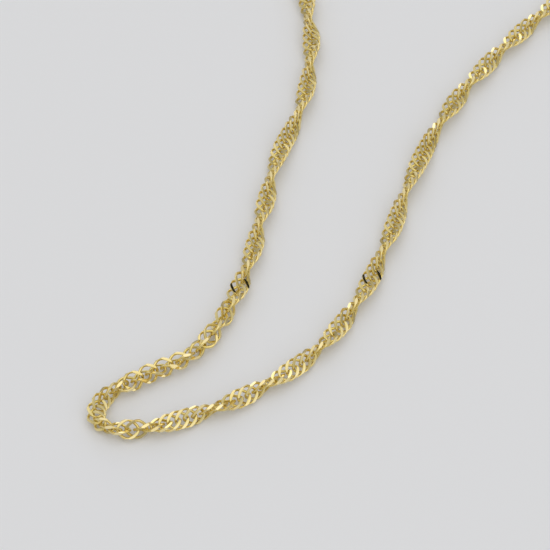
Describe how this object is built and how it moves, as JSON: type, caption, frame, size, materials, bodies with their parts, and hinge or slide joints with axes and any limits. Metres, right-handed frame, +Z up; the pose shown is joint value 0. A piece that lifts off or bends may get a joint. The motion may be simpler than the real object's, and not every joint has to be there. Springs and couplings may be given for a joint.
{
  "type": "twisted curb chain necklace",
  "caption": "Fine gold necklace of flat-cut double curb links twisted into a spiral ribbon, lying as a closed loop with a small round clasp.",
  "frame": {"origin": "middle of the loop, on the surface it lies on", "axes": "+Y from the narrow front bend towards the clasp, +Z up from the surface"},
  "size_m": [0.0839, 0.1915, 0.0025],
  "materials": {
    "chain_gold": "bright yellow gold, mirror-cut flats on the links",
    "clasp_gold": "polished yellow gold with fine wear"
  },
  "bodies": {
    "root": {"chain": "chain_gold", "clasp": "clasp_gold"}
  },
  "joints": []
}
